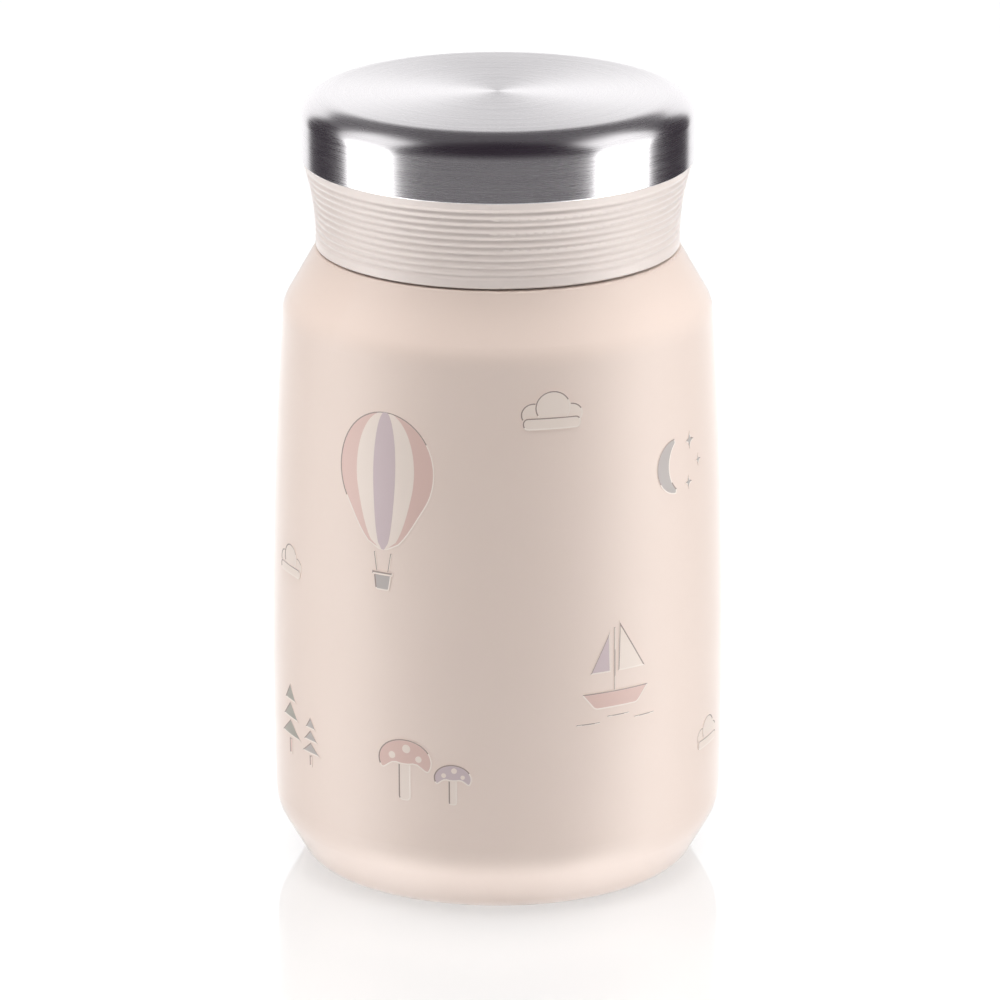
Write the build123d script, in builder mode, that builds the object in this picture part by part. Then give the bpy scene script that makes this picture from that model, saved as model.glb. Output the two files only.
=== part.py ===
"""Insulated food jar: a double-walled steel jar with an insulated screw-on lid.

The origin is the centre of the base, on the surface that the jar stands on, and +Z is up.
All lengths are in millimetres. Every piece is a body of revolution about Z, apart from the
two-start screw threads and the getter, which sits to one side in the vacuum space.
"""

import os
from math import sqrt

from build123d import *

os.makedirs("parts", exist_ok=True)

# ---------------------------------------------------------------- driving dimensions

# Outer shell
shell_wall = 0.6
wall_foot_radius = 39.6        # at the top of the foot's chamfer, unrounded
wall_foot_rounding = 9.7
foot_height = 10.05            # from the ground to the top of the chamfer
foot_chamfer = 5.85            # how far the chamfer draws the foot in
foot_rounding = 3.55
foot_lip_width = 4.2           # from the foot's edge in to where the shell is curled up
foot_lip_rounding = 1.0
wall_height = 91.1             # from the chamfer to the shoulder
wall_bow = 1.135               # how far the side bulges past a straight cone
wall_taper = 1.83              # how much narrower the side is at the shoulder
wall_top_rounding = 7.6
shoulder_height = 10.25        # from the wall's top to the ledge that the lid comes down to
ledge_margin = 0.05            # how far the ledge shows round the collar's foot
ledge_rounding = 0.7
neck_radius = 27.5
neck_height = 15.55            # from the ledge to the rim
neck_foot_rounding = 1.2

# Screw thread: two starts
thread_pitch = 4.0             # from one ridge to the next
thread_starts = 2
thread_depth = 0.9
thread_base_width = 2.4
thread_crest_width = 1.0
thread_root_sink = 0.3         # how deep a ridge is sunk into its wall
thread_foot_margin = 3.0       # from the ledge to a ridge's lower end
thread_rim_margin = 1.95       # from a ridge's upper end to the rim
thread_clearance = 0.3         # radial, from a crest to the wall opposite

# Inner vessel
vessel_wall = 0.5
vacuum_gap = 3.4               # between the two walls at the belly
neck_vacuum_gap = 0.7
base_vacuum_gap = 4.8          # between the two bottoms
vessel_base_rounding = 4.0
vessel_dish_depth = 1.2
vessel_dish_radius = 27.0
vessel_dish_run = 4.0
vessel_base_depth = 5.7        # from the base's lowest point up to its weld
vessel_seam_land = 1.5         # a straight stretch above the weld
vessel_shoulder_drop = 3.2     # below the shell's shoulder
vessel_shoulder_rounding = 6.0
vessel_neck_drop = 3.55        # below the shell's ledge
weld_clearance = 0.05

# Vacuum parts
foil_thickness = 0.15
foil_clearance = 0.3
foil_foot_margin = 3.0         # above the straight stretch
foil_top_margin = 5.0          # below the vessel's shoulder
getter_offset = 16.0
getter_radius = 3.3
getter_height = 1.6
getter_clip_wall = 0.3
getter_clearance = 0.05

# Base
plate_wall = 0.6
plate_height = 3.4
plate_flange_height = 1.2
plate_rounding = 0.9
dimple_radius = 7.0
dimple_run = 1.5
dimple_depth = 1.2
evacuation_hole_radius = 0.9
bead_radius = 3.0
bead_height = 0.9
bead_rounding = 0.7
cover_wall = 0.5
cover_height = 1.0             # from the ground up to the cover
cover_rim = 1.8
cover_rounding = 0.8
cover_clearance = 0.1

# Lid
cap_wall = 0.6
cap_height = 11.65
cap_edge_rounding = 2.9
cap_overhang = 0.07            # how far the cap's edge stands out past the collar
collar_gap = 0.35              # between the collar's foot and the shell's ledge
collar_wall = 1.6              # at its foot
flare_width = 2.33             # how much wider the collar is at its top
flare_start = 1.35             # above the collar's foot
cap_fit_clearance = 0.15
collar_bore_clearance = 0.1
collar_top_wall = 1.5
collar_foot_rounding = 0.35
groove_count = 10
groove_depth = 0.26
ribs_foot_margin = 1.53        # plain bands below and above the ribs
ribs_top_margin = 1.12
liner_wall = 1.5
liner_foot_clearance = 0.3     # from the collar's foot up to the liner's foot
seal_thickness = 1.8
seal_clearance = 0.1
seal_inset = 0.2               # inside the neck's outer wall
seal_lip_depth = 0.4
plug_clearance = 1.5           # from the plug to the vessel's mouth
plug_wall = 1.3
plug_depth = 9.7               # below the rim
plug_rounding = 2.0
foam_clearance = 0.1
foam_head = 6.3                # from the liner's ceiling up to the backing plate
backing_thickness = 1.5
glue_gap = 0.1


# ---------------------------------------------------------------- heights, from the ground up

plate_top = plate_height + plate_wall
vessel_base_height = plate_top + base_vacuum_gap
vessel_seam_height = vessel_base_height + vessel_base_depth
wall_top_height = foot_height + wall_height
ledge_height = wall_top_height + shoulder_height
rim_height = ledge_height + neck_height
collar_foot_height = ledge_height + collar_gap
liner_foot_height = collar_foot_height + liner_foot_clearance
seal_ring_low = rim_height + seal_clearance
ceiling_height = seal_ring_low + seal_thickness + seal_clearance
liner_shelf = ceiling_height + liner_wall
liner_top = liner_shelf + foam_head
cap_underside = liner_top + backing_thickness + glue_gap
overall_height = cap_underside + cap_wall
cap_edge_height = overall_height - cap_height

# ---------------------------------------------------------------- radii, from the neck outwards

liner_bore = neck_radius + thread_depth + thread_clearance
liner_radius = liner_bore + liner_wall
collar_bore = liner_radius + collar_bore_clearance
collar_foot_radius = collar_bore + collar_wall
collar_top_radius = collar_foot_radius + flare_width
cap_radius = collar_top_radius + cap_overhang
ledge_radius = collar_foot_radius + ledge_margin
wall_top_radius = wall_foot_radius - wall_taper
foot_radius = wall_foot_radius - foot_chamfer
foot_lip_radius = foot_radius - foot_lip_width


# ---------------------------------------------------------------- shared geometry

def wall_radius(height):
    """Radius of the jar's outer side at a height, with its bow."""
    share = (height - foot_height) / wall_height
    straight = wall_foot_radius - wall_taper * share
    return straight + 4 * wall_bow * share * (1 - share)


def side_arc(low, high, inset):
    """The jar's side from one height to another, moved inwards by inset."""
    heights = (low, (low + high) / 2, high)
    return ThreePointArc(*[(wall_radius(height) - inset, height) for height in heights])


def round_corner(outline, corner, radius):
    """Fillet the vertex of an outline that lies nearest to a point."""
    nearest = outline.vertices().sort_by_distance(Vector(*corner))[0]
    fillet(nearest, radius=radius)


thread_lead = thread_pitch * thread_starts
thread_rise = neck_height - thread_foot_margin - thread_rim_margin - thread_base_width


def thread_ridge(wall_at, outward, low_height, start_angle):
    """One helical ridge on a cylindrical wall, sunk a little into it."""
    with BuildPart() as ridge:
        with BuildLine() as path:
            Helix(pitch=thread_lead, height=thread_rise, radius=wall_at, center=(0, 0, low_height))
        section = Plane(origin=path.line @ 0, x_dir=(outward, 0, 0), z_dir=path.line % 0)
        with BuildSketch(section):
            with BuildLine():
                Polyline(
                    (-thread_root_sink, -thread_base_width / 2),
                    (thread_depth, -thread_crest_width / 2),
                    (thread_depth, thread_crest_width / 2),
                    (-thread_root_sink, thread_base_width / 2),
                    close=True,
                )
            make_face()
        sweep(path=path.line, is_frenet=True)
    return ridge.part.rotate(Axis.Z, start_angle)


def save(piece, name):
    """Label a finished piece and write it as a STEP file."""
    piece.part.label = name
    export_step(piece.part, f"parts/{name}.step")


# ---------------------------------------------------------------- jar: outer shell

neck_thread_height = ledge_height + thread_foot_margin + thread_base_width / 2

with BuildPart() as outer_shell:
    with BuildSketch(Plane.XZ):
        with BuildLine() as outline:
            Polyline(
                (foot_lip_radius, plate_top),
                (foot_lip_radius, 0),
                (foot_radius, 0),
                (wall_foot_radius, foot_height),
            )
            side_arc(foot_height, wall_top_height, 0)
            Polyline(
                (wall_top_radius, wall_top_height),
                (ledge_radius, ledge_height),
                (neck_radius, ledge_height),
                (neck_radius, rim_height - vessel_wall - weld_clearance),
            )
            round_corner(outline, (foot_lip_radius, 0), foot_lip_rounding)
            round_corner(outline, (foot_radius, 0), foot_rounding)
            round_corner(outline, (wall_foot_radius, foot_height), wall_foot_rounding)
            round_corner(outline, (wall_top_radius, wall_top_height), wall_top_rounding)
            round_corner(outline, (ledge_radius, ledge_height), ledge_rounding)
            round_corner(outline, (neck_radius, ledge_height), neck_foot_rounding)
            offset(amount=shell_wall, side=Side.LEFT, closed=True)
        make_face()
    revolve(axis=Axis.Z)
    for start in range(thread_starts):
        add(thread_ridge(neck_radius, 1, neck_thread_height, 360 / thread_starts * start))
save(outer_shell, "outer_shell")

# ---------------------------------------------------------------- jar: base plate, bead, cover

plate_radius = foot_lip_radius - weld_clearance - plate_wall
dimple_height = plate_height + dimple_depth

with BuildPart() as outer_base_plate:
    with BuildSketch(Plane.XZ):
        with BuildLine() as outline:
            Polyline(
                (evacuation_hole_radius, dimple_height),
                (dimple_radius - dimple_run, dimple_height),
                (dimple_radius, plate_height),
                (plate_radius, plate_height),
                (plate_radius, plate_flange_height),
            )
            round_corner(outline, (plate_radius, plate_height), plate_rounding)
            offset(amount=plate_wall, side=Side.LEFT, closed=True)
        make_face()
    revolve(axis=Axis.Z)
save(outer_base_plate, "outer_base_plate")

with BuildPart() as evacuation_bead:
    with BuildSketch(Plane.XY.offset(dimple_height - bead_height)):
        Circle(bead_radius)
    extrude(amount=bead_height)
    fillet(evacuation_bead.edges().group_by(Axis.Z)[0], radius=bead_rounding)
save(evacuation_bead, "evacuation_bead")

cover_radius = plate_radius - cover_clearance

with BuildPart() as base_cover:
    with BuildSketch(Plane.XZ):
        with BuildLine() as outline:
            Polyline(
                (0, cover_height),
                (cover_radius, cover_height),
                (cover_radius, cover_height + cover_rim),
            )
            round_corner(outline, (cover_radius, cover_height), cover_rounding)
            offset(amount=cover_wall, side=Side.LEFT, closed=True)
        make_face()
    revolve(axis=Axis.Z)
save(base_cover, "base_cover")

# ---------------------------------------------------------------- jar: inner vessel

vessel_inset = shell_wall + vacuum_gap
vessel_neck_radius = neck_radius - shell_wall - neck_vacuum_gap
vessel_side_low = vessel_seam_height + vessel_seam_land
vessel_shoulder_height = wall_top_height - vessel_shoulder_drop
vessel_neck_height = ledge_height - vessel_neck_drop
vessel_foot_radius = wall_radius(vessel_side_low) - vessel_inset
vessel_top_radius = wall_radius(vessel_shoulder_height) - vessel_inset
flange_height = rim_height - vessel_wall

with BuildPart() as inner_vessel:
    with BuildSketch(Plane.XZ):
        with BuildLine() as outline:
            Line((vessel_foot_radius, vessel_seam_height), (vessel_foot_radius, vessel_side_low))
            side_arc(vessel_side_low, vessel_shoulder_height, vessel_inset)
            Polyline(
                (vessel_top_radius, vessel_shoulder_height),
                (vessel_neck_radius, vessel_neck_height),
                (vessel_neck_radius, flange_height),
                (neck_radius, flange_height),
            )
            round_corner(outline, (vessel_top_radius, vessel_shoulder_height), vessel_shoulder_rounding)
            round_corner(outline, (vessel_neck_radius, vessel_neck_height), vessel_shoulder_rounding)
            offset(amount=vessel_wall, side=Side.LEFT, closed=True)
        make_face()
    revolve(axis=Axis.Z)
save(inner_vessel, "inner_vessel")

dish_height = vessel_base_height + vessel_dish_depth

with BuildPart() as inner_vessel_base:
    with BuildSketch(Plane.XZ):
        with BuildLine() as outline:
            Polyline(
                (0, dish_height),
                (vessel_dish_radius - vessel_dish_run, dish_height),
                (vessel_dish_radius, vessel_base_height),
                (vessel_foot_radius, vessel_base_height),
                (vessel_foot_radius, vessel_seam_height - weld_clearance),
            )
            round_corner(outline, (vessel_foot_radius, vessel_base_height), vessel_base_rounding)
            offset(amount=vessel_wall, side=Side.LEFT, closed=True)
        make_face()
    revolve(axis=Axis.Z)
save(inner_vessel_base, "inner_vessel_base")

# ---------------------------------------------------------------- jar: vacuum space

foil_foot_height = vessel_side_low + foil_foot_margin
foil_top_height = vessel_shoulder_height - foil_top_margin

with BuildPart() as radiation_foil:
    with BuildSketch(Plane.XZ):
        with BuildLine():
            side_arc(foil_foot_height, foil_top_height, vessel_inset - foil_clearance)
            offset(amount=foil_thickness, side=Side.RIGHT, closed=True)
        make_face()
    revolve(axis=Axis.Z)
save(radiation_foil, "radiation_foil")

clip_bore = getter_radius + getter_clearance
clip_floor = plate_top + getter_clip_wall

with BuildPart() as getter_clip:
    with BuildSketch(Plane.XY.offset(plate_top)):
        with Locations((getter_offset, 0)):
            Circle(clip_bore + getter_clip_wall)
    extrude(amount=getter_clip_wall + getter_height)
    with BuildSketch(Plane.XY.offset(clip_floor)):
        with Locations((getter_offset, 0)):
            Circle(clip_bore)
    extrude(amount=getter_height, mode=Mode.SUBTRACT)
save(getter_clip, "getter_clip")

with BuildPart() as getter_pellet:
    with BuildSketch(Plane.XY.offset(clip_floor)):
        with Locations((getter_offset, 0)):
            Circle(getter_radius)
    extrude(amount=getter_height)
save(getter_pellet, "getter_pellet")

# ---------------------------------------------------------------- lid: steel cap

with BuildPart() as lid_cap:
    with BuildSketch(Plane.XZ):
        with BuildLine() as outline:
            Polyline((cap_radius, cap_edge_height), (cap_radius, overall_height), (0, overall_height))
            round_corner(outline, (cap_radius, overall_height), cap_edge_rounding)
            offset(amount=cap_wall, side=Side.LEFT, closed=True)
        make_face()
    revolve(axis=Axis.Z)
save(lid_cap, "lid_cap")

# ---------------------------------------------------------------- lid: inner liner

mouth_radius = vessel_neck_radius - vessel_wall
plug_radius = mouth_radius - plug_clearance
plug_bottom = rim_height - plug_depth
plug_bore = plug_radius - plug_wall
plug_floor = plug_bottom + plug_wall

# The lid's ridges lie half a pitch below the neck's. Each starts as low as the liner has room
# for, turned to the place where the neck's groove is at that height.
liner_thread_height = liner_foot_height + thread_base_width / 2 + thread_clearance * 2
groove_height = neck_thread_height - thread_pitch / 2
liner_thread_angle = 360 * (liner_thread_height - groove_height) / thread_lead

with BuildPart() as lid_liner:
    with BuildSketch(Plane.XZ):
        with BuildLine() as outline:
            Polyline(
                (0, plug_bottom),
                (plug_radius, plug_bottom),
                (plug_radius, ceiling_height),
                (liner_bore, ceiling_height),
                (liner_bore, liner_foot_height),
                (liner_radius, liner_foot_height),
                (liner_radius, liner_top),
                (liner_bore, liner_top),
                (liner_bore, liner_shelf),
                (plug_bore, liner_shelf),
                (plug_bore, plug_floor),
                (0, plug_floor),
                close=True,
            )
            round_corner(outline, (plug_radius, plug_bottom), plug_rounding)
        make_face()
    revolve(axis=Axis.Z)
    for start in range(thread_starts):
        turn = liner_thread_angle + 360 / thread_starts * start
        add(thread_ridge(liner_bore, -1, liner_thread_height, turn))
save(lid_liner, "lid_liner")

with BuildPart() as lid_insulation:
    with BuildSketch(Plane.XZ):
        with BuildLine():
            Polyline(
                (0, plug_floor),
                (plug_bore - foam_clearance, plug_floor),
                (plug_bore - foam_clearance, liner_shelf),
                (liner_bore - foam_clearance, liner_shelf),
                (liner_bore - foam_clearance, liner_top),
                (0, liner_top),
                close=True,
            )
        make_face()
    revolve(axis=Axis.Z)
save(lid_insulation, "lid_insulation")

# ---------------------------------------------------------------- lid: grip collar

spigot_radius = cap_radius - cap_wall - cap_fit_clearance
collar_top_bore = spigot_radius - collar_top_wall
collar_top = overall_height - cap_edge_rounding - cap_fit_clearance
flare_height = collar_foot_height + flare_start
flare_rise = cap_edge_height - flare_height
flare_arc = (flare_rise**2 + flare_width**2) / (2 * flare_width)


def collar_point(height, depth=0):
    """A point on the collar's outside: straight at its foot, then flaring along an arc."""
    rise = max(0, height - flare_height)
    radius = collar_foot_radius + flare_arc - sqrt(flare_arc**2 - rise**2)
    return (radius - depth, height)


ribs_low = collar_foot_height + ribs_foot_margin
ribs_high = cap_edge_height - ribs_top_margin
half_wave = (ribs_high - ribs_low) / (2 * groove_count)

with BuildPart() as lid_grip_collar:
    with BuildSketch(Plane.XZ):
        with BuildLine() as outline:
            # The ribbing is a wave: grooves and ribs by turns, each an arc half a pitch long.
            Polyline(
                (collar_foot_radius, collar_foot_height),
                collar_point(ribs_low),
                collar_point(ribs_low + half_wave / 2, groove_depth / 2),
            )
            for step in range(2 * groove_count - 1):
                low = ribs_low + half_wave * (step + 0.5)
                ThreePointArc(
                    collar_point(low, groove_depth / 2),
                    collar_point(low + half_wave / 2, groove_depth if step % 2 == 0 else 0),
                    collar_point(low + half_wave, groove_depth / 2),
                )
            Line(collar_point(ribs_high - half_wave / 2, groove_depth / 2), collar_point(ribs_high))
            ThreePointArc(
                collar_point(ribs_high),
                collar_point((ribs_high + cap_edge_height) / 2),
                collar_point(cap_edge_height),
            )
            Polyline(
                collar_point(cap_edge_height),
                (spigot_radius, cap_edge_height),
                (spigot_radius, collar_top),
                (collar_top_bore, collar_top),
                (collar_top_bore, cap_edge_height),
                (collar_bore, cap_edge_height - (collar_top_bore - collar_bore)),
                (collar_bore, collar_foot_height),
                (collar_foot_radius, collar_foot_height),
            )
            round_corner(outline, (collar_foot_radius, collar_foot_height), collar_foot_rounding)
        make_face()
    revolve(axis=Axis.Z)
save(lid_grip_collar, "lid_grip_collar")

with BuildPart() as lid_backing_plate:
    with BuildSketch(Plane.XY.offset(liner_top)):
        Circle(liner_radius)
    extrude(amount=backing_thickness)
save(lid_backing_plate, "lid_backing_plate")

# ---------------------------------------------------------------- lid: seal ring

seal_bore = plug_radius + seal_clearance * 2
seal_radius = neck_radius - seal_inset
seal_top = ceiling_height - seal_clearance
seal_lip_run = (seal_radius - seal_bore) / 4

with BuildPart() as lid_seal_ring:
    with BuildSketch(Plane.XZ):
        with BuildLine():
            Polyline(
                (seal_bore, seal_ring_low),
                (seal_bore + seal_lip_run, seal_ring_low),
                (seal_bore + seal_lip_run * 2, seal_ring_low + seal_lip_depth),
                (seal_radius - seal_lip_run, seal_ring_low),
                (seal_radius, seal_ring_low),
                (seal_radius, seal_top),
                (seal_bore, seal_top),
                close=True,
            )
        make_face()
    revolve(axis=Axis.Z)
save(lid_seal_ring, "lid_seal_ring")

# ---------------------------------------------------------------- summary

print(f"jar: {2 * wall_radius(38):.1f} mm across the belly, {overall_height:.1f} mm high")
print(f"mouth: {2 * mouth_radius:.1f} mm wide; one turn of the lid lifts it {thread_lead:.1f} mm")
neck_thread_end = rim_height - thread_rim_margin
liner_thread_end = liner_thread_height - thread_base_width / 2
print(f"the threads part after {neck_thread_end - liner_thread_end:.1f} mm of lift")
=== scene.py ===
# %% [markdown]
# # Dressing an insulated food jar
# The jar is already built as solid pieces: a painted steel shell with a threaded neck, an inner
# vessel, and a screw-on lid with a ribbed collar under a steel cap. This lesson gives each piece
# its finish, presses small pictures into the paint, draws the cap with the curve that its metal
# really takes, and sets up a plain studio to look at it all in. Everything is in metres, with the
# origin at the middle of the jar's base and Z up.

# %% Load the pieces
import math
import bpy
from mathutils import Matrix, Vector


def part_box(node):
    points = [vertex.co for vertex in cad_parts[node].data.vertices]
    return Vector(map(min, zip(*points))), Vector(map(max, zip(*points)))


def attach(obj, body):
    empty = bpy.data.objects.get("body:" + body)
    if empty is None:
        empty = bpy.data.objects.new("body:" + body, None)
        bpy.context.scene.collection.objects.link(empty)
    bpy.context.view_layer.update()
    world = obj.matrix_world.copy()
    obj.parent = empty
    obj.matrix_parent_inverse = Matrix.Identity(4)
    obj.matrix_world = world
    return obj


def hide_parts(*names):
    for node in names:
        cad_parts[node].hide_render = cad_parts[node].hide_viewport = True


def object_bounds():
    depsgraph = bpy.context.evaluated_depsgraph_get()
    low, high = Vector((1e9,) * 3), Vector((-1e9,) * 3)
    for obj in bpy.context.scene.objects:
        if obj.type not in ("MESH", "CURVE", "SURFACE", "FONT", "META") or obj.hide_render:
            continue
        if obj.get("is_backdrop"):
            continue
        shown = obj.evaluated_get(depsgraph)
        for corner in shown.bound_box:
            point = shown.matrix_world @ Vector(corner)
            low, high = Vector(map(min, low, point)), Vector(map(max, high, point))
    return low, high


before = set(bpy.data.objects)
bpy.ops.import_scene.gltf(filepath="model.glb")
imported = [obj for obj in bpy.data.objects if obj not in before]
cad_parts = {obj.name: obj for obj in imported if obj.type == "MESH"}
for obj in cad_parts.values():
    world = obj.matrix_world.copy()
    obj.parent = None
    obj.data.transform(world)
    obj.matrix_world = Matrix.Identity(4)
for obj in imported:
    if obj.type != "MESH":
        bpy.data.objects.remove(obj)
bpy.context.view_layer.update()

MM = 0.001
scene = bpy.context.scene
scene.view_settings.view_transform = "Standard"
print("pieces:", ", ".join(sorted(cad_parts)))

# %% [markdown]
# ## Places to measure from
# Paint stops where the neck begins, the pictures lie on the curved side, and the cap keeps its
# size, so all three need sizes of the real pieces. They could be typed in, but then they would go
# wrong when a piece changes. Here they are read from the pieces: their boxes, and a ray sent at
# the shell's side. The ray runs a hair off the centre, where it can't slip between two faces.

# %% Read the sizes
OFF_CENTRE = 0.01 * MM
INWARDS = Vector((-1, 0, 0))
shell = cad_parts["outer_shell"]
shell_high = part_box("outer_shell")[1]
cap_low, cap_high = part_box("lid_cap")
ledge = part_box("lid_grip_collar")[0].z
depsgraph = bpy.context.evaluated_depsgraph_get()


def wall_radius(height):
    """Distance from the jar's axis to its painted side at a height."""
    start = Vector((2 * shell_high.x, OFF_CENTRE, height))
    point = shell.ray_cast(start, INWARDS, depsgraph=depsgraph)[1]
    return point.x


for height in (20 * MM, 95 * MM):
    print(f"side: {wall_radius(height) / MM:.2f} mm out at {height / MM:.0f} mm up")

# %% [markdown]
# ## Writing materials as sums
# A material's pattern is arithmetic: a noise times a strength plus a base value. Node by node that
# is long to write and hard to read. A small class that wraps a socket and overloads + - * / lets
# the arithmetic be written as arithmetic, and one method adds every other kind of node.

# %% A socket that can be added and multiplied
class Flow:
    """A socket's value on its way through a material."""

    def __init__(self, finish, socket):
        self.finish = finish
        self.socket = socket

    def math(self, operation, *others):
        values = dict(enumerate((self, *others)))
        return self.finish.node("Math", {"operation": operation}, values)

    def __add__(self, other):
        return self.math("ADD", other)

    def __sub__(self, other):
        return self.math("SUBTRACT", other)

    def __mul__(self, other):
        return self.math("MULTIPLY", other)

    def __truediv__(self, other):
        return self.math("DIVIDE", other)

    def __rsub__(self, other):
        return self * -1 + other

    __radd__ = __add__
    __rmul__ = __mul__

    def above(self, edge, width):
        """0 below an edge and 1 above it, with a soft step of a given width."""
        values = {"Value": self, "From Min": edge - width / 2, "From Max": edge + width / 2}
        return self.finish.node("MapRange", {"interpolation_type": "SMOOTHSTEP"}, values)


# %% A material that is built up in code
class Finish:
    """The nodes of one material, or of the world's background."""

    def __init__(self, owner):
        owner.use_nodes = True
        self.owner = owner
        self.tree = owner.node_tree
        self.tree.nodes.clear()
        self.place = self.node("TexCoord", output="Object")

    def node(self, kind, settings=None, values=None, output=0):
        """Add a node, give it its settings, then its values or links, and hand back an output."""
        made = self.tree.nodes.new("ShaderNode" + kind)
        for name, value in (settings or {}).items():
            setattr(made, name, value)
        for name, value in (values or {}).items():
            if isinstance(value, Flow):
                self.tree.links.new(value.socket, made.inputs[name])
            else:
                made.inputs[name].default_value = value
        return Flow(self, made.outputs[output]) if made.outputs else None

    def parts(self):
        """The place on the piece as three numbers, and its distance from the jar's axis."""
        split = self.node("SeparateXYZ", values={"Vector": self.place}).socket.node
        x, y, z = [Flow(self, output) for output in split.outputs]
        return x, y, z, (x * x + y * y).math("SQRT")

    def join(self, x=0.0, y=0.0, z=0.0):
        """Three numbers made into one place."""
        return self.node("CombineXYZ", values={"X": x, "Y": y, "Z": z})

    def noise(self, scale, detail=2.0, where=None):
        """Soft noise between 0 and 1; a scale of 1000 makes it vary about every millimetre."""
        values = {"Vector": where or self.place, "Scale": scale, "Detail": detail}
        return self.node("TexNoise", values=values)

    def blend(self, share, first, second):
        """A colour between two, or one socket's colour and another's."""
        values = {0: share, 6: first, 7: second}
        return self.node("Mix", {"data_type": "RGBA"}, values, output=2)

    def bump(self, height, depth):
        """A normal that tilts with a height pattern of a given depth."""
        values = {"Height": height, "Distance": depth, "Strength": 1.0}
        return self.node("Bump", values=values)

    def surface(self, values):
        """Feed the surface shader's sockets, and hand back the finished material."""
        shader = self.node("BsdfPrincipled", values=values)
        self.node("OutputMaterial", values={"Surface": shader})
        return self.owner


def new_finish(name):
    """An empty material to build a finish in."""
    return Finish(bpy.data.materials.new(name))


def colour(red, green, blue):
    """A colour as it is seen on a screen, 0 to 255, turned into the light that it reflects."""
    seen = [part / 255 for part in (red, green, blue)]
    light = [part / 12.92 if part <= 0.04045 else ((part + 0.055) / 1.055) ** 2.4 for part in seen]
    return (*light, 1.0)


def dress(node, material):
    """Give a piece of the frame its material."""
    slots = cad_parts[node].material_slots
    for slot in slots:
        slot.material = material
    print(f"{node}: {material.name}")


# %% [markdown]
# ## Powder coat
# The shell is steel under a baked powder coat: a pale, pinkish beige with a satin shine and a very
# fine, even pimple, because the powder melts without quite flowing flat. A flat colour would look
# like plastic, so two sizes of noise raise the surface by a few thousandths of a millimetre, and a
# broad, faint noise shifts the tone. A clear, rough top layer and some sheen give the pale bloom
# that the coat shows where it is seen at a slant. The coat ends at the foot of the neck, where the
# steel is bare, and it is a little scuffed on the ring that the jar stands on.

# %% Make the powder coat
COAT = colour(227, 207, 195)
COAT_DEEP = colour(224, 203, 190)
SCUFFED = colour(196, 182, 173)
BARE_STEEL = (0.60, 0.585, 0.575, 1.0)
NECK_MEASURED = 1.0 * MM       # above the ledge
PAINT_STOPS = 1.2 * MM         # out from the neck
PAINT_EDGE = 0.2 * MM
SCUFF_HEIGHT = 0.5 * MM
SCUFF_FADE = 0.8 * MM
PIMPLE_DEPTH = 0.004 * MM
NECK_LINES = 9000              # to a metre
COAT_ROUGHNESS = 0.55
STEEL_SMOOTHER = 0.31          # than the coat

finish = new_finish("powder_coat")
x, y, z, radius = finish.parts()
neck = wall_radius(ledge + NECK_MEASURED)
near_neck = 1 - radius.above(neck + PAINT_STOPS, PAINT_EDGE)
steel = near_neck * z.above(ledge - 1 * MM, 0.5 * MM)
scuff = (1 - z.above(SCUFF_HEIGHT, SCUFF_FADE)) * finish.noise(900, 4.0).above(0.52, 0.2)
tone = finish.blend(finish.noise(45, 3.0), COAT_DEEP, COAT)
painted = finish.blend(scuff * 0.5, tone, SCUFFED)
pimple = finish.noise(1500, 2.0) + 0.35 * finish.noise(5200, 1.0)
turned = finish.noise(1.0, 2.0, finish.join(x=z * NECK_LINES))
roughness = COAT_ROUGHNESS + 0.05 * finish.noise(300, 2.0) + 0.15 * scuff
powder_coat = finish.surface({
    "Base Color": finish.blend(steel, painted, BARE_STEEL),
    "Metallic": steel,
    "Roughness": roughness - steel * (STEEL_SMOOTHER - 0.06 * turned),
    "IOR": 1.7,
    "Specular IOR Level": 1.0,
    "Sheen Weight": 1.0,
    "Sheen Roughness": 0.3,
    "Coat Weight": 0.9,
    "Coat Roughness": 0.72,
    "Normal": finish.bump(pimple * (1 - steel), PIMPLE_DEPTH),
})
dress("outer_shell", powder_coat)

# %% [markdown]
# ## Brushed and spun steel
# The cap is held on a spindle and brushed as it turns, so its scratches run in circles. Each
# scratch spreads a reflection across itself and hardly along itself, which is what draws a fan of
# light on the round top and tall, sharp-sided bands on the side. Anisotropy makes that spread. The
# single scratches come from noise that changes fast along the profile and slowly round it.

# %% Make the turned steels
LINE_CHANGES = 2.5             # how fast a line changes on its way round
BROAD_SCALE = 0.08             # of the broad, faint bands, against 1 for the lines
BROAD_STREAK = 0.05
SCRATCH_DEPTH = 0.0006 * MM
SCRATCH_DARKENS = 0.92


def darker(tint, share):
    """A colour with a share of its light."""
    return tuple(part * share for part in tint[:3]) + (1.0,)


def turned_steel(name, tint, roughness, anisotropy, lines, streak=0.12):
    """Steel with circular lines; lines is how many there are to a metre of profile."""
    finish = new_finish(name)
    x, y, z, radius = finish.parts()
    where = finish.join(x / radius * LINE_CHANGES, y / radius * LINE_CHANGES, (radius + z) * lines)
    scratch = finish.noise(1.0, 3.0, where)
    broad = finish.noise(BROAD_SCALE, 2.0, where)
    return finish.surface({
        "Base Color": finish.blend(scratch.above(0.5, 0.5), darker(tint, SCRATCH_DARKENS), tint),
        "Metallic": 1.0,
        "Roughness": roughness + streak * (scratch - 0.5) + BROAD_STREAK * (broad - 0.5),
        "Anisotropic": anisotropy,
        "Anisotropic Rotation": 0.25,
        "Normal": finish.bump(scratch, SCRATCH_DEPTH),
    })


CAP_STEEL = (0.72, 0.705, 0.715, 1.0)
VESSEL_STEEL = (0.66, 0.645, 0.63, 1.0)
BASE_STEEL = (0.62, 0.61, 0.60, 1.0)

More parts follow.
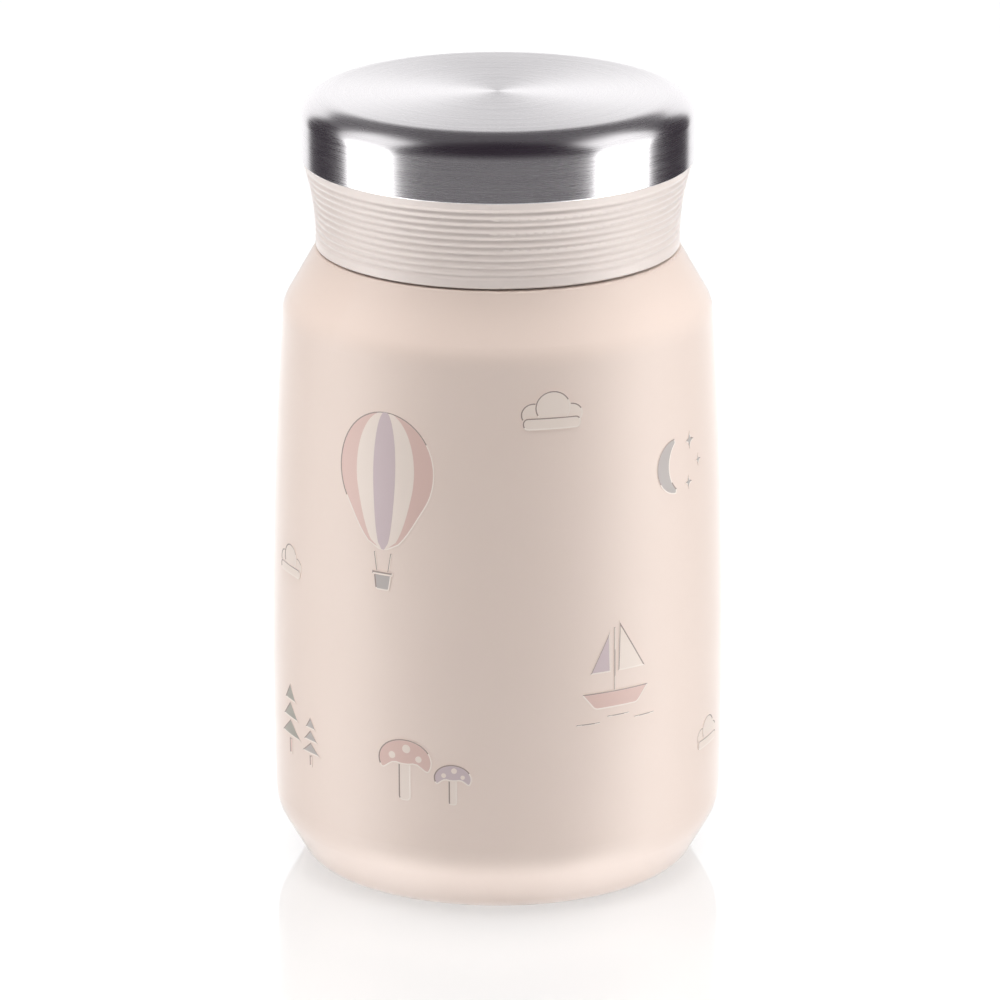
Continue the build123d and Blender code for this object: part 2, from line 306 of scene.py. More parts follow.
cap_steel = turned_steel("brushed_cap_steel", CAP_STEEL, 0.27, 0.75, 9000)
dress("lid_cap", cap_steel)
vessel_steel = turned_steel("polished_vessel_steel", VESSEL_STEEL, 0.24, 0.35, 4000, 0.06)
for piece in ("inner_vessel", "inner_vessel_base"):
    dress(piece, vessel_steel)
base_steel = turned_steel("spun_base_steel", BASE_STEEL, 0.33, 0.6, 5000)
for piece in ("outer_base_plate", "base_cover", "getter_clip"):
    dress(piece, base_steel)

# %% [markdown]
# ## Plastic, silicone and foam
# The grip collar is a matt moulding in nearly the colour of the paint. Moulded parts are even, so
# what shows is a fine spark-eroded grain and a slight drift in tone. The liner is a smoother, milky
# plastic, the seal is soft silicone with a dusty surface, and the foam is a mass of tiny beads.

# %% Make the moulded finishes
GRAIN_STREAK = 0.08


def moulded(name, tint, roughness, grain, grain_depth, drift=0.06, metallic=0.0, shine=0.5):
    """An even, dull material with a fine grain; drift is how far its tone wanders.

    A shine over 0.5 adds the bloom of a soft-touch surface, as on the powder coat.
    """
    finish = new_finish(name)
    fine = finish.noise(grain, 2.0)
    bloom = 2.0 * (shine - 0.5)
    return finish.surface({
        "Base Color": finish.blend(finish.noise(70, 3.0), darker(tint, 1 - drift), tint),
        "Metallic": metallic,
        "Roughness": roughness + GRAIN_STREAK * (fine - 0.5),
        "Specular IOR Level": shine,
        "Sheen Weight": bloom,
        "Sheen Roughness": 0.3,
        "Coat Weight": bloom,
        "Coat Roughness": 0.6,
        "Normal": finish.bump(fine, grain_depth),
    })


collar_plastic = moulded(
    "matt_collar_plastic", colour(236, 223, 216), 0.5, 3500, 0.004 * MM, shine=1.0
)
dress("lid_grip_collar", collar_plastic)
liner_plastic = moulded("milky_liner_plastic", colour(226, 222, 216), 0.36, 900, 0.002 * MM, 0.03)
for piece in ("lid_liner", "lid_backing_plate"):
    dress(piece, liner_plastic)
silicone = moulded("seal_silicone", colour(214, 213, 208), 0.62, 2500, 0.004 * MM, 0.05)
dress("lid_seal_ring", silicone)
dress("lid_insulation", moulded("insulating_foam", colour(240, 238, 230), 0.9, 450, 0.08 * MM))
foil = moulded("crinkled_foil", colour(205, 205, 208), 0.22, 120, 0.3 * MM, metallic=1.0)
dress("radiation_foil", foil)
dress("getter_pellet", moulded("pressed_getter", colour(82, 80, 80), 0.8, 2500, 0.02 * MM))
dress("evacuation_bead", moulded("solder_glass", colour(58, 60, 66), 0.15, 300, 0.004 * MM, 0.2))

# %% [markdown]
# ## Inks for the pictures
# Jars like this carry small nursery pictures in quiet colours, pressed a few hundredths of a
# millimetre into the coat. Each shape has a nearly matt fill, hardly darker than the paint. Its
# sunken edge carries painted light: a thin dark line of painted shade at the top and left, which
# face away from the light, and a thin pale line of painted highlight at the bottom and right. The
# dark ink also draws real lines, such as ropes, masts and waves. Fills and edges get inks of their
# own, and every ink lies unevenly, so its tone drifts and a fine tooth shows. The coat counts as
# one more ink, for the rim of paint round a sunk shape.

# %% Mix the inks
INKS = {
    # The first ink draws real lines and the painted shade on sunk edges turned from the light; the
    # second is a painted highlight on edges turned to it.
    "line_and_painted_shade_ink": colour(150, 130, 120),
    "painted_highlight_ink": colour(241, 229, 219),
    "rose_ink": colour(217, 184, 174),
    "mauve_ink": colour(201, 182, 185),
    "sage_ink": colour(160, 155, 144),
    "stone_ink": colour(178, 169, 165),
    "cream_ink": colour(235, 220, 209),
}
inks = {"coat": powder_coat}
for name, tint in INKS.items():
    inks[name] = moulded(name, tint, 0.48, 1800, 0.004 * MM, 0.07, shine=0.8)
print("inks:", ", ".join(inks))

# %% [markdown]
# ## Drawing a shape flat
# Each picture is drawn flat, standing up in the XZ plane and facing -Y, from primitives that are
# shaped in edit mode. A mesh could be typed in point by point, but starting from a circle or a
# square and pulling at it keeps the outline smooth and the steps readable. A shape is either sunk,
# with a rim and a sloping edge, or a plain tint that lies on the floor of a sunk shape. A shape's
# layer is how far in front of the plane it lies, so overlapping shapes never share a surface.

# %% Helpers for flat shapes
LAYER = 0.045 * MM
RIM_HEIGHT = 0.07 * MM
FLOOR_HEIGHT = 0.03 * MM
TINT_HEIGHT = 0.04 * MM
EDGE_WIDTH = 0.22 * MM
EDGE_SHARE = 0.36              # of a small shape's lesser side, at most
CORNER_SEGMENTS = 5


def start_alone(piece=None):
    """Leave edit mode and deselect everything, or everything but one piece."""
    if bpy.context.object and bpy.context.object.mode != "OBJECT":
        bpy.ops.object.mode_set(mode="OBJECT")
    bpy.ops.object.select_all(action="DESELECT")
    if piece:
        piece.select_set(True)
        bpy.context.view_layer.objects.active = piece


def finish_placing(piece, size, ink, layer, sunk):
    """Scale a new flat shape in millimetres, apply its place, and note its ink and its kind."""
    piece.scale = (size[0] * MM, size[1] * MM, 1)
    bpy.ops.object.transform_apply(location=True, rotation=True, scale=True)
    height = LAYER * layer + (RIM_HEIGHT if sunk else TINT_HEIGHT)
    piece.data.transform(Matrix.Translation((0, -height, 0)))
    # The last two inks are for the sloping edge: painted shade and painted highlight.
    for name in (ink, "coat", "line_and_painted_shade_ink", "painted_highlight_ink"):
        piece.data.materials.append(inks[name])
    piece["sunk"] = sunk
    piece["edge"] = min(EDGE_WIDTH, EDGE_SHARE * min(size) * MM)
    return piece


def disc(at, size, ink, layer=0, corners=40, sunk=True):
    """A flat round or many-cornered shape of a given width and height, in millimetres."""
    start_alone()
    bpy.ops.mesh.primitive_circle_add(
        vertices=corners, radius=0.5, fill_type="NGON",
        location=(at[0] * MM, 0, at[1] * MM), rotation=(math.pi / 2, 0, 0),
    )
    return finish_placing(bpy.context.object, size, ink, layer, sunk)


def block(at, size, ink, layer=0, turn=0.0):
    """A flat, sunk rectangle of a given width and height, in millimetres."""
    start_alone()
    bpy.ops.mesh.primitive_plane_add(
        size=1, location=(at[0] * MM, 0, at[1] * MM), rotation=(math.pi / 2, turn, 0)
    )
    return finish_placing(bpy.context.object, size, ink, layer, sunk=True)


def select_points(piece, chosen):
    """Go into edit mode with only the points that pass a test selected."""
    start_alone(piece)
    bpy.ops.object.mode_set(mode="EDIT")
    bpy.ops.mesh.select_mode(type="VERT")
    bpy.ops.mesh.select_all(action="DESELECT")
    bpy.ops.object.mode_set(mode="OBJECT")
    for vertex in piece.data.vertices:
        vertex.select = bool(chosen(vertex.co / MM))
    bpy.ops.object.mode_set(mode="EDIT")


def pull(piece, chosen, move, reach=0.0):
    """Move the chosen points, in millimetres, and draw their neighbours along within reach."""
    select_points(piece, chosen)
    bpy.ops.transform.translate(
        value=(move[0] * MM, 0, move[1] * MM),
        use_proportional_edit=reach > 0,
        proportional_edit_falloff="SMOOTH",
        proportional_size=max(reach, 1.0) * MM,
    )
    bpy.ops.object.mode_set(mode="OBJECT")


def narrow(piece, chosen, factors, about):
    """Scale the chosen points about a place, in millimetres."""
    select_points(piece, chosen)
    bpy.ops.transform.resize(
        value=(factors[0], 1, factors[1]), center_override=(about[0] * MM, 0, about[1] * MM)
    )
    bpy.ops.object.mode_set(mode="OBJECT")


def round_corners(piece, radius):
    """Round every corner of a flat shape."""
    select_points(piece, lambda point: True)
    bpy.ops.mesh.bevel(offset=radius * MM, segments=CORNER_SEGMENTS, affect="VERTICES")
    bpy.ops.object.mode_set(mode="OBJECT")


# %% [markdown]
# ## From flat shapes to a relief on a curved side
# A sunk shape is pressed in by two insets: the first leaves a rim of paint, and the second goes
# down to the floor and leaves a sloping edge. The sloping faces get painted light by the way they
# point: those turned from the light take the dark ink as painted shade, and those turned to it take
# the pale ink as a painted highlight. The shape is then cut into narrow strips, because a single
# flat face can't bend, and its points are moved onto the jar: distance across becomes angle round
# the axis, and distance in front of the plane becomes distance out from the paint. Solidify gives
# it a thickness that reaches into the coat, and a small bevel softens its outer edge. Cuts that run
# close by a corner leave specks of faces, so points that nearly meet are merged.

# %% Press in, cut, wrap and thicken
RIM_WIDTH = 0.08 * MM
# The light by which the sloping edges get their painted shade and painted highlight.
LIGHT_FROM = Vector((-0.5, 0, 0.87))
LEVEL = 0.9999                 # how straight forward a rim's face points, at least
FILL, RIM, PAINTED_SHADE_EDGE, PAINTED_HIGHLIGHT_EDGE = range(4)     # in the order of a flat shape's inks
STRIP = 1.2 * MM
STRIP_HEIGHT = 4 * STRIP
CUT_ACCURACY = 0.0001 * MM
MERGE_BELOW = 0.004 * MM
MERGE_BEVELS_BELOW = 0.001 * MM
PICTURE_THICKNESS = 0.2 * MM
EDGE_SOFTNESS = 0.025 * MM
BEVEL_ABOVE = math.radians(50)
SMOOTH_BELOW = math.radians(9)


def press_in(piece):
    """Sink a flat shape's middle, colour its rim, and give its sloping edge painted shade or a
    painted highlight by the way it faces the light.
    """
    select_points(piece, lambda point: True)
    bpy.ops.mesh.select_mode(type="FACE")
    bpy.ops.mesh.inset(thickness=RIM_WIDTH)
    bpy.ops.mesh.inset(thickness=piece["edge"], depth=FLOOR_HEIGHT - RIM_HEIGHT)
    bpy.ops.object.mode_set(mode="OBJECT")
    for face in piece.data.polygons:
        if face.select:
            face.material_index = FILL
        elif face.normal.y < -LEVEL:
            face.material_index = RIM
        # Sloping faces turned from the light get painted shade, the others a painted highlight.
        elif face.normal.dot(LIGHT_FROM) < 0:
            face.material_index = PAINTED_SHADE_EDGE
        else:
            face.material_index = PAINTED_HIGHLIGHT_EDGE


def cut_into_strips(piece):
    """Cut a shape by upright and level planes, so that it can follow the side."""
    points = [vertex.co for vertex in piece.data.vertices]
    cuts = []
    for axis, step in ((0, STRIP), (2, STRIP_HEIGHT)):
        low = min(point[axis] for point in points)
        high = max(point[axis] for point in points)
        normal = Vector((axis == 0, 0, axis == 2))
        count = math.ceil((high - low) / step)
        cuts += [(normal * (low + (high - low) * cut / count), normal) for cut in range(1, count)]
    start_alone(piece)
    bpy.ops.object.mode_set(mode="EDIT")
    for place, normal in cuts:
        bpy.ops.mesh.select_all(action="SELECT")
        bpy.ops.mesh.bisect(plane_co=place, plane_no=normal, threshold=CUT_ACCURACY)
    bpy.ops.mesh.select_all(action="SELECT")
    bpy.ops.mesh.remove_doubles(threshold=MERGE_BELOW)
    bpy.ops.mesh.dissolve_degenerate(threshold=MERGE_BELOW)
    bpy.ops.object.mode_set(mode="OBJECT")


def wrap(piece, azimuth, height):
    """Move a flat shape onto the jar's side, with its centre at an angle and a height."""
    for vertex in piece.data.vertices:
        across, stands_out, up = vertex.co.x, -vertex.co.y, vertex.co.z + height
        side = wall_radius(up)
        angle = azimuth + across / side
        out = side + stands_out
        vertex.co = (out * math.sin(angle), -out * math.cos(angle), up)


def thicken(piece, thickness, softness):
    """Give a surface its thickness, inwards, and a soft edge."""
    solid = piece.modifiers.new("thickness", "SOLIDIFY")
    solid.thickness = thickness
    solid.offset = -1
    soft = piece.modifiers.new("soft edge", "BEVEL")
    soft.width = softness
    soft.segments = 2
    soft.angle_limit = BEVEL_ABOVE
    for modifier in ("thickness", "soft edge"):
        bpy.ops.object.modifier_apply(modifier=modifier)


def make_picture(name, shapes, azimuth, height):
    """Turn flat shapes into one picture on the jar's side."""
    for shape in shapes:
        if shape["sunk"]:
            press_in(shape)
        cut_into_strips(shape)
    start_alone(shapes[0])
    for shape in shapes:
        shape.select_set(True)
    bpy.ops.object.join()
    picture = bpy.context.object
    picture.name = picture.data.name = name
    wrap(picture, math.radians(azimuth), height * MM)
    start_alone(picture)
    thicken(picture, PICTURE_THICKNESS, EDGE_SOFTNESS)
    bpy.ops.object.mode_set(mode="EDIT")
    bpy.ops.mesh.select_all(action="SELECT")
    bpy.ops.mesh.remove_doubles(threshold=MERGE_BEVELS_BELOW)
    bpy.ops.object.mode_set(mode="OBJECT")
    bpy.ops.object.shade_smooth_by_angle(angle=SMOOTH_BELOW)
    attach(picture, "jar")
    print(f"{name}: {len(picture.data.polygons)} faces")


# %% [markdown]
# ## The pictures
# The set is a sky over a small world: a balloon, clouds, a moon and stars, a sailing boat, trees
# and toadstools. Each is a short recipe of circles and squares, in millimetres across and up from
# the picture's own middle. Pictures that come round again are drawn by the same function at
# another place, which is given in degrees round the jar from its front and millimetres up.

# %% A hot-air balloon
def balloon_panel(width, ink, layer, sunk):
    """An egg standing on its narrow end: a disc that is drawn out downwards and pinched."""
    panel = disc((0, 6), (width, 21), ink, layer, corners=56, sunk=sunk)
    pull(panel, lambda point: point.z < -4.3, (0, -3.6), reach=8)
    narrow(panel, lambda point: point.z < -7.0, (0.75, 1), (0, -7))
    return panel


def balloon(name, azimuth, height):
    """A striped envelope, with a basket on two ropes."""
    panels = [
        balloon_panel(19, "rose_ink", 0, True),
        balloon_panel(11.5, "cream_ink", 0, False),
        balloon_panel(4.4, "mauve_ink", 0.4, False),
    ]
    ropes = [
        block((side * 1.35, -10.4), (0.4, 4.0), "line_and_painted_shade_ink", turn=side * 0.16) for side in (-1, 1)
    ]
    basket = block((0, -13.8), (3.6, 3.0), "stone_ink", 1)
    narrow(basket, lambda point: point.z < -13.8, (0.78, 1), (0, -13.8))
    round_corners(basket, 0.5)
    rim = block((0, -12.2), (4.2, 0.7), "line_and_painted_shade_ink", 2)
    make_picture(name, panels + ropes + [basket, rim], azimuth, height)


# %% A cloud
FULL_CLOUD = 11.0


def cloud(name, azimuth, height, width=FULL_CLOUD):
    """Three puffs that overlap, on a flat foot."""
    step = width / FULL_CLOUD
    puffs = [
        disc((-3.2 * step, 0.2 * step), (4.6 * step, 4.2 * step), "cream_ink"),
        disc((3.4 * step, 0.1 * step), (4.4 * step, 3.8 * step), "cream_ink"),
        disc((0.2 * step, 1.3 * step), (6.4 * step, 6.0 * step), "cream_ink", 1),
    ]
    foot = block((0, -1.4 * step), (10.4 * step, 2.2 * step), "cream_ink", 2)
    round_corners(foot, 1.0 * step)
    make_picture(name, puffs + [foot], azimuth, height)


# %% A moon and stars
def star(at, size):
    """A star with four points: an eight-sided disc with every other corner drawn in."""
    sparkle = disc(at, (size, size), "stone_ink", corners=8)
    sparkle["edge"] = 0.06 * size * MM
    narrow(
        sparkle,
        lambda point: min(abs(point.x - at[0]), abs(point.z - at[1])) > 0.1 * size,
        (0.45, 0.45), at,
    )
    return sparkle


def crescent(radius, fold, tip):
    """A disc whose right side is folded over to the left at a line, and whose tips are cut off."""
    moon = disc((0, 0), (2 * radius, 2 * radius), "stone_ink", corners=80)
    narrow(moon, lambda point: point.x > fold, (-0.9, 1), (fold, 0))
    tip_height = math.sqrt(radius**2 - fold**2)
    select_points(
        moon, lambda point: math.hypot(point.x - fold, abs(point.z) - tip_height) < tip
    )
    bpy.ops.mesh.dissolve_verts()
    bpy.ops.object.mode_set(mode="OBJECT")
    return moon


def night_sky(name, azimuth, height):
    """A crescent moon with three stars."""
    stars = [((4.6, 3.6), 3.2), ((7.5, -0.6), 2.3), ((3.9, -3.8), 2.6)]
    shapes = [crescent(5, 1.5, 1.3)] + [star(at, size) for at, size in stars]
    make_picture(name, shapes, azimuth, height)


# %% A sailing boat
def sailing_boat(name, azimuth, height):
    """A hull with two sails on a mast, and three waves."""
    main_sail = disc((3.2, 2.6), (6.8, 10.5), "cream_ink", corners=3)
    pull(main_sail, lambda point: point.z > 5, (-2.6, 1.2))
    fore_sail = disc((-3.2, 2.0), (4.8, 8.0), "mauve_ink", corners=3)
    pull(fore_sail, lambda point: point.z > 5, (1.9, 1.6))
    mast = block((-0.35, 1.6), (0.45, 13.0), "line_and_painted_shade_ink")
    hull = block((0, -4.9), (14, 3.2), "rose_ink", 1)
    narrow(hull, lambda point: point.z < -4.9, (0.62, 1), (0, -4.9))
    round_corners(hull, 0.6)
    waves = [
        block((shift, -7.9 - 1.1 * abs(shift) / 6), (4.6, 0.4), "line_and_painted_shade_ink")
        for shift in (-5.5, 0.4, 6.0)
    ]
    make_picture(name, [main_sail, fore_sail, mast, hull] + waves, azimuth, height)


# %% Trees and toadstools
def fir(across, foot, size, ink):
    """Three triangles of falling width, one above the other, on a trunk."""
    tiers = [
        disc(
            (across, foot + size * (0.34 + 0.22 * tier)),
            (size * (0.66 - 0.14 * tier), size * 0.28), ink, corners=3,
        )
        for tier in range(3)
    ]
    trunk = block((across, foot + size * 0.15), (size * 0.08, size * 0.2), "rose_ink")
    return tiers + [trunk]


def firs(name, azimuth, height):
    """A tall fir with a small one."""
    shapes = fir(-3.4, -7, 15, "sage_ink") + fir(4.0, -7, 10.5, "stone_ink")
    make_picture(name, shapes, azimuth, height)


def toadstool(across, foot, size, ink):
    """A round-cornered stem under a cap: a disc with its lower side pushed up, and three dots."""
    stem = block((across, foot + size * 0.32), (size * 0.2, size * 0.64), "cream_ink")
    round_corners(stem, size * 0.07)
    cap = disc((across, foot + size * 0.62), (size * 0.86, size * 0.66), ink, 1)
    pull(cap, lambda point: point.z < foot + size * 0.31, (0, size * 0.26), reach=size * 0.32)
    dots = [
        disc(
            (across + shift * size, foot + rise * size), (size * wide, size * wide),
            "cream_ink", 1, 20, sunk=False,
        )
        for shift, rise, wide in ((-0.2, 0.68, 0.11), (0.03, 0.8, 0.13), (0.22, 0.66, 0.1))
    ]
    return [stem, cap] + dots


def toadstools(name, azimuth, height):
    """A big toadstool with a small one."""
    shapes = toadstool(-3.4, -6, 12, "rose_ink") + toadstool(5.4, -6, 8, "mauve_ink")
    make_picture(name, shapes, azimuth, height)


# %% Put the pictures round the jar
SMALL_CLOUD = 9.0

balloon("picture_balloon_front", -30, 74)
cloud("picture_cloud_front", 14, 91)
cloud("picture_cloud_left", -66, 58, SMALL_CLOUD)
night_sky("picture_night_front", 52, 78)
sailing_boat("picture_boat_front", 31, 44)
toadstools("picture_toadstools_front", -19, 27)
firs("picture_firs_left", -61, 29)
cloud("picture_cloud_low", 68, 26, SMALL_CLOUD)
balloon("picture_balloon_back", 152, 72)
cloud("picture_cloud_back", -168, 90)
night_sky("picture_night_back", -112, 80)
sailing_boat("picture_boat_back", -148, 44)
toadstools("picture_toadstools_back", 163, 27)
firs("picture_firs_back", 117, 29)
cloud("picture_cloud_right", 104, 86, SMALL_CLOUD)
cloud("picture_cloud_far", -104, 30, SMALL_CLOUD)

# %% [markdown]
# ## The drawn cap
# The cap is pressed from one sheet of steel. Where its side turns into its top, the metal is drawn
# over the punch in a wide curve that reaches a little further in than it falls. The solid cap has
# a tighter, plain round edge. Nobody would notice on paint, but brushed metal shows every curve.
# So the cap is drawn here as a ring that is raised row by row, up the side and along a quarter of
# an ellipse, and is closed at its middle. It gets the thickness of the sheet at the end, inwards.
# A spin would do as well, but raising rows needs no profile to be drawn first.

# %% Draw the cap
SHEET = 0.4 * MM
CAP_EDGE_REACH = 5.2 * MM
CAP_EDGE_FALL = 4.4 * MM
CAP_EDGE_ROWS = 20
CAP_SEGMENTS = 240
CAP_LIP_SOFTNESS = 0.12 * MM
CAP_MARGIN = 0.001 * MM        # keeps the top just inside the solid cap's height
TOP_RINGS = (0.75, 0.5, 0.25, 0.02)
cap_top = cap_high.z - CAP_MARGIN


def raise_ring(radius, height, rows):
    """Extrude the selected ring to each radius and height in turn, and close it at its middle."""
    for next_radius, next_height in rows:
        bpy.ops.mesh.extrude_region_move(
            TRANSFORM_OT_translate={"value": (0, 0, next_height - height)}
        )
        change = next_radius / radius
        bpy.ops.transform.resize(value=(change, change, 1), center_override=(0, 0, next_height))
        radius, height = next_radius, next_height
    bpy.ops.mesh.merge(type="CENTER")


start_alone()
bpy.ops.mesh.primitive_circle_add(
    vertices=CAP_SEGMENTS, radius=cap_high.x, location=(0, 0, cap_low.z)
)
cap = bpy.context.object
cap.name = cap.data.name = "drawn_cap"
bpy.ops.object.transform_apply(location=True)
turns = [math.pi / 2 * row / CAP_EDGE_ROWS for row in range(CAP_EDGE_ROWS + 1)]
edge = [
    (
        cap_high.x - CAP_EDGE_REACH * (1 - math.cos(turn)),
        cap_top - CAP_EDGE_FALL * (1 - math.sin(turn)),
    )
    for turn in turns
]
inner = [(edge[-1][0] * share, cap_top) for share in TOP_RINGS]
bpy.ops.object.mode_set(mode="EDIT")
bpy.ops.mesh.select_mode(type="VERT")
bpy.ops.mesh.select_all(action="SELECT")
raise_ring(cap_high.x, cap_low.z, edge + inner)
bpy.ops.mesh.select_all(action="SELECT")
bpy.ops.mesh.normals_make_consistent(inside=False)
bpy.ops.object.mode_set(mode="OBJECT")
thicken(cap, SHEET, CAP_LIP_SOFTNESS)
bpy.ops.object.shade_smooth_by_angle(angle=SMOOTH_BELOW)
cap.data.materials.append(cap_steel)
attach(cap, "lid")
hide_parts("lid_cap")
print(f"drawn_cap: {len(cap.data.polygons)} faces")

# %% [markdown]
# ## The studio: lamps
# Two tall softboxes stand left and right, a little behind the jar, and a third hangs over it.
# Between them the front stays darker, which is what lets a pale, round object show its shape. The
# right one is a little stronger. The lamps themselves are hidden from reflections, because the
# reflections get surroundings of their own in the next step.

# %% Hang the lamps
SOFTBOX_ANGLE = math.radians(108)
SOFTBOX_DISTANCE = 1.0
SOFTBOX_SIZE = (0.75, 1.3)
SOFTBOX_POWER = 6.9
SOFTBOX_IMBALANCE = 0.12
SOFTBOX_HEIGHT = 0.55
TOP_POWER = 15.8
TOP_SIZE = 0.9
TOP_HEIGHT = 1.1
TOP_FORWARD = 0.1
AIM_HEIGHT = 0.07
aim = Vector((0, 0, AIM_HEIGHT))


def softbox(name, place, size, power):
    """A rectangular lamp that faces the jar."""
    lamp = bpy.data.lights.new(name, "AREA")
    lamp.shape = "RECTANGLE"
    lamp.size, lamp.size_y = size
    lamp.energy = power
    holder = bpy.data.objects.new(name, lamp)
    scene.collection.objects.link(holder)
    holder.location = place
    holder.rotation_euler = (aim - Vector(place)).to_track_quat("-Z", "Y").to_euler()
    holder.visible_glossy = False
    holder.visible_camera = False
    print(f"{name}: {power} W")


for side, name in ((-1, "softbox_left"), (1, "softbox_right")):
    place = (
        side * SOFTBOX_DISTANCE * math.sin(SOFTBOX_ANGLE),
        -SOFTBOX_DISTANCE * math.cos(SOFTBOX_ANGLE),
        SOFTBOX_HEIGHT,
    )
    softbox(name, place, SOFTBOX_SIZE, SOFTBOX_POWER * (1 + SOFTBOX_IMBALANCE * side))
softbox("softbox_top", (0, -TOP_FORWARD, TOP_HEIGHT), (TOP_SIZE, TOP_SIZE), TOP_POWER)

# %% [markdown]
# ## The studio: what the steel reflects
# Polished metal has hardly a look of its own: it shows the room. The room here is a dome round the
# jar that only reflections can see. It is painted by two measures: the angle round the jar from
# the front, and the height above the jar's middle, which runs from -1 straight below to 1
# straight above.
#
# - Round the jar it is dim in front, bright where a softbox stands on each side, dark where
#   screens stand behind those, and white at the back.
# - Upwards the softboxes fade, so that the cap's top isn't blinding when it is seen from the side.
#   Then the white stops at a dark ceiling, which draws the dark band along the cap's edge. The
#   softboxes go on in it as fainter panels.
# - Downwards the front and the screens get lighter, as a room does towards its floor, and a pool
#   of light lies straight below, for the chamfer at the jar's foot.

# %% Build the surroundings
DOME_RADIUS = 3.0
DOME_HEIGHT = 0.1

# Angles round the jar, from the front
BOX_STARTS, BOX_ENDS = math.radians(62.5), math.radians(97.2)
BACK_STARTS = math.radians(146)
BOX_LEAN = math.radians(14)    # how much further round the softboxes reach higher up
BACK_LEAN = math.radians(4)    # the same for the white
BOX_SHIFT = math.radians(4)    # between what lies left and what lies right
EDGE = math.radians(5)

# Heights at which something changes, and how wide the change is
LEANS = (0.2, 0.5)
BOX_FADES = (0.14, 0.2)
FRONT_DARKENS = (0.16, 0.2)
SCREEN_DARKENS = (-0.5, 0.2)
CEILING_STARTS = (0.48, 0.08)
PANEL_ENDS = (0.8, 0.2)
POOL_ENDS = (-0.75, 0.15)

# Amounts of light
FRONT_LIGHT = 0.045
LOW_FRONT_LIGHT = 0.22
SCREEN_LIGHT = 0.05
LOW_SCREEN_LIGHT = 0.8
CEILING_LIGHT = 0.03
BACK_CEILING_LIGHT = 0.14
BACK_LIGHT = 1.21
BOX_LIGHT = 3.8
HIGH_BOX_LIGHT = 0.9 * BACK_LIGHT
BOX_IMBALANCE = 0.1
PANEL_LIGHT = 1.3
POOL_LIGHT = 1.7
TINT = (0.005, -0.004, 0.007)

start_alone()
bpy.ops.mesh.primitive_uv_sphere_add(
    segments=96, ring_count=48, radius=DOME_RADIUS, location=(0, 0, DOME_HEIGHT)
)
dome = bpy.context.object
dome.name = "surroundings"
bpy.ops.object.transform_apply(location=True)
for ray in ("camera", "diffuse", "transmission", "volume_scatter", "shadow"):
    setattr(dome, "visible_" + ray, False)

finish = new_finish("surroundings")
x, y, z, radius = finish.parts()
up = (z - DOME_HEIGHT) / DOME_RADIUS
right = x.above(0, 0.01)
shift = BOX_SHIFT * (right - 0.5)
angle = x.math("ABSOLUTE").math("ARCTAN2", y * -1)
high = up.above(*LEANS)
sides = angle.above(BOX_STARTS, EDGE)
box_start = (angle + shift).above(BOX_STARTS, 2 * EDGE)
box_end = (angle - BOX_LEAN * high).above(BOX_ENDS, EDGE)
in_box = box_start * (1 - box_end) * (1 - BOX_IMBALANCE / 2 + BOX_IMBALANCE * right)
box_light = BOX_LIGHT + (HIGH_BOX_LIGHT - BOX_LIGHT) * up.above(*BOX_FADES)
behind = (angle - shift + BACK_LEAN * high).above(BACK_STARTS, EDGE)
front = LOW_FRONT_LIGHT + (FRONT_LIGHT - LOW_FRONT_LIGHT) * up.above(*FRONT_DARKENS)
screen = SCREEN_LIGHT + LOW_SCREEN_LIGHT * (1 - up.above(*SCREEN_DARKENS))
around = front * (1 - sides) + screen * sides + box_light * in_box + BACK_LIGHT * behind
panel = PANEL_LIGHT * in_box * (1 - up.above(*PANEL_ENDS))
ceiling = CEILING_LIGHT + (BACK_CEILING_LIGHT - CEILING_LIGHT) * sides + panel
over = up.above(*CEILING_STARTS)
pool = POOL_LIGHT * (1 - up.above(*POOL_ENDS))
light = around * (1 - over) + ceiling * over + pool
tinted = finish.join(*[light + part for part in TINT])
finish.node("OutputMaterial", values={"Surface": finish.node("Emission", values={"Color": tinted})})
dome.data.materials.append(finish.owner)
dome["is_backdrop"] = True
print("surroundings built")

# %% [markdown]
# ## The studio: floor and background
# The jar stands on a glossy white table in front of white. The table has to be white to the
# camera without more light on the jar, so for the rays that look at it, which come from the
# camera, a mirror or glass, half of its colour is its own glow. The rest is ordinary lit white,
# which keeps the jar's shadow, and a share of mirror, which keeps a faint reflection of it. The
# jar's own reflections leave the table out, because they have the dome. The background is white to
# look at too, and hardly lights the jar.

# %% Lay the floor and the background
FLOOR_SIZE = 8
FLOOR_GLOW = 0.53
FLOOR_MIRROR = 0.25            # of the whole, so more of what the glow leaves over
FLOOR_WHITE = (0.81, 0.81, 0.81, 1)
FLOOR_ROUGHNESS = 0.06
WHITE = (1, 1, 1, 1)
WORLD_LIGHT = 0.1


def looking(finish):
    """1 for rays from the camera, a mirror or glass, and 0 for rays that only carry light."""
    camera_ray = finish.node("LightPath", output="Is Camera Ray")
    glossy_ray = finish.node("LightPath", output="Is Glossy Ray")
    clear_ray = finish.node("LightPath", output="Is Transmission Ray")
    return camera_ray.math("MAXIMUM", glossy_ray).math("MAXIMUM", clear_ray)


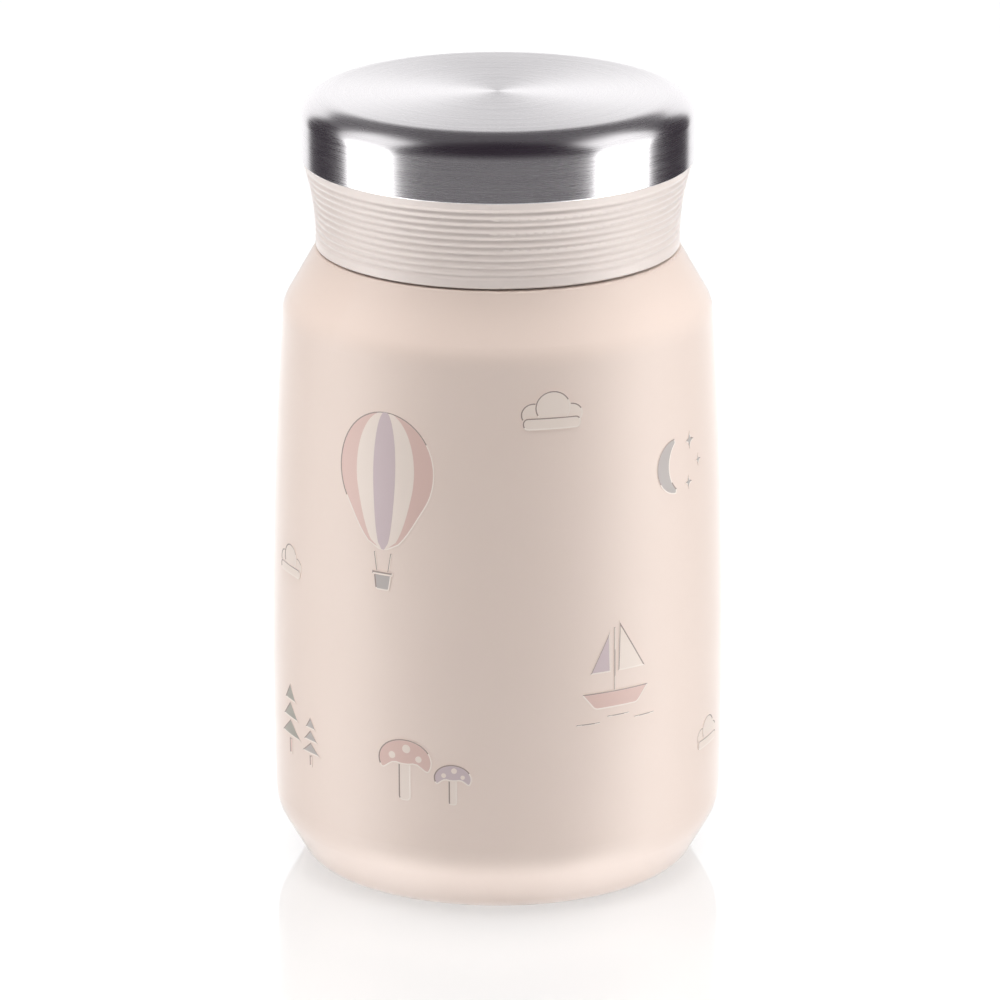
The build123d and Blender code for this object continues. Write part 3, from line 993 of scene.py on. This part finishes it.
start_alone()
bpy.ops.mesh.primitive_plane_add(size=FLOOR_SIZE)
floor = bpy.context.object
floor.name = "floor"
floor.visible_glossy = False
finish = new_finish("white_table")
camera_ray = finish.node("LightPath", output="Is Camera Ray")
matt = finish.node("BsdfDiffuse", values={"Color": FLOOR_WHITE})
mirror = finish.node("BsdfGlossy", values={"Color": WHITE, "Roughness": FLOOR_ROUGHNESS})
glow = finish.node("Emission", values={"Color": WHITE, "Strength": 1.0})
share = FLOOR_MIRROR / (1 - FLOOR_GLOW)
shiny = finish.node("MixShader", values={0: camera_ray * share, 1: matt, 2: mirror})
table = finish.node("MixShader", values={0: looking(finish) * FLOOR_GLOW, 1: shiny, 2: glow})
finish.node("OutputMaterial", values={"Surface": table})
floor.data.materials.append(finish.owner)
floor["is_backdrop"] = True

scene.world = bpy.data.worlds.new("white_studio")
finish = Finish(scene.world)
white = WORLD_LIGHT + (1 - WORLD_LIGHT) * looking(finish)
background = finish.node("Background", values={"Color": white})
finish.node("OutputWorld", values={"Surface": background})
print("floor and background ready")

# %% [markdown]
# ## The camera
# The jar is seen from about 17 degrees above, through a long lens from more than a metre away, so
# its sides stay nearly parallel. The jar stands a hair left of the picture's middle.

# %% Set up the camera
CAMERA_DISTANCE = 1.1421
CAMERA_HEIGHT = 0.4112
CAMERA_ACROSS = 0.0004
CAMERA_TILT = math.radians(16.884)
FOCAL_LENGTH = 242.53
SENSOR_WIDTH = 36
NEAREST = 0.01

camera = bpy.data.objects.new("camera", bpy.data.cameras.new("camera"))
scene.collection.objects.link(camera)
camera.data.lens = FOCAL_LENGTH
camera.data.sensor_width = SENSOR_WIDTH
camera.data.clip_start = NEAREST
camera.location = (CAMERA_ACROSS, -CAMERA_DISTANCE, CAMERA_HEIGHT)
camera.rotation_euler = (math.pi / 2 - CAMERA_TILT, 0, 0)
scene.camera = camera
print(f"camera {camera.location.length:.3f} m away")

# %% [markdown]
# ## The size
# The box round everything that is shown, the pictures and the drawn cap included, is printed as a
# size. The pictures and the drawn cap may not make the jar bigger than its solids.

# %% Print the size
low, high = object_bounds()
print("size:", [round(value / MM, 2) for value in high - low], "mm")
